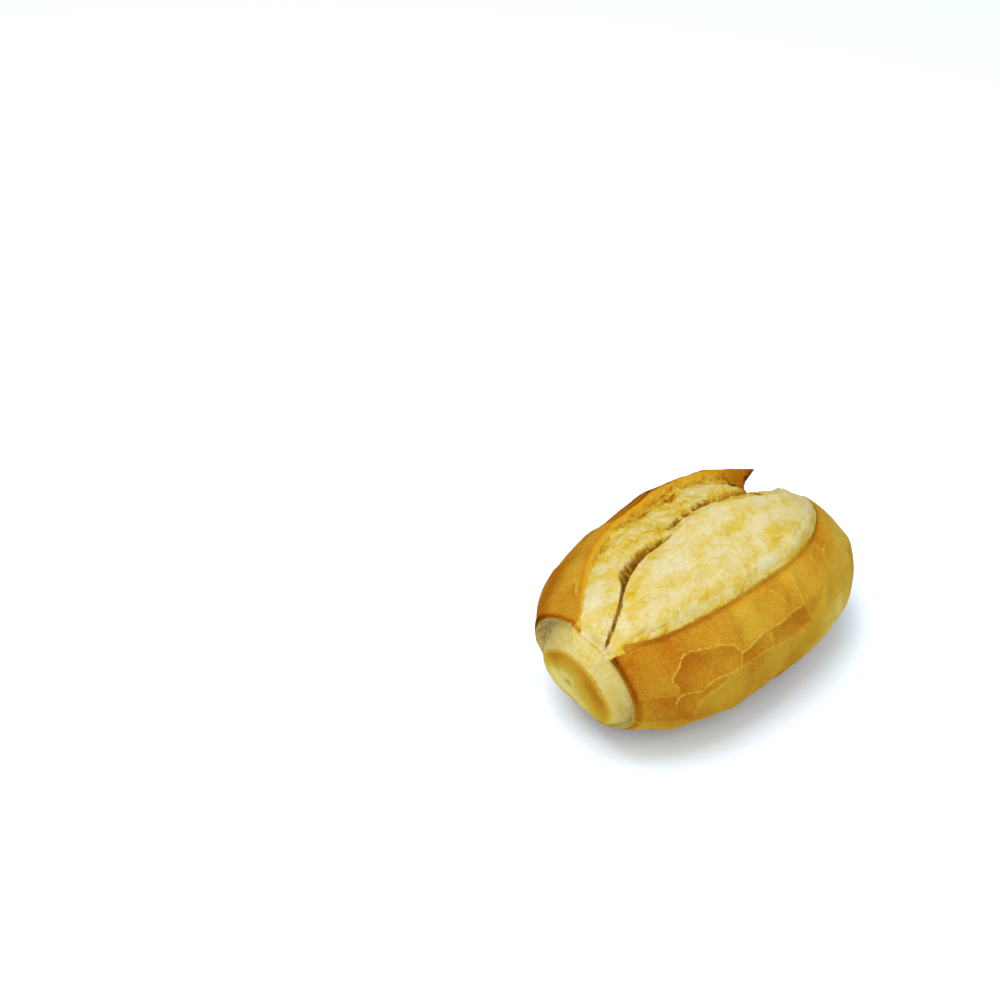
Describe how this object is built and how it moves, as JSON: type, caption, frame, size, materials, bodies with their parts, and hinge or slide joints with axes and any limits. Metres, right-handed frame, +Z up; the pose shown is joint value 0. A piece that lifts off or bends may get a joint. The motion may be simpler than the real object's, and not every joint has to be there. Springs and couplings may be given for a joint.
{
  "type": "french bread roll",
  "caption": "Crusty oval bread roll with a long torn-open cut along its top and a rolled cap at one end.",
  "frame": {"origin": "centre of the roll's outline in X and Y, at the height of its flat underside", "axes": "X along the roll with the rolled cap end at -X, +Y towards the side with the raised lip of the cut, +Z up"},
  "size_m": [0.1224, 0.0778, 0.0588],
  "materials": {
    "crust": "matt golden-brown baked crust with pale cream torn crumb"
  },
  "bodies": {
    "root": {"bread_roll": "crust"}
  },
  "joints": []
}
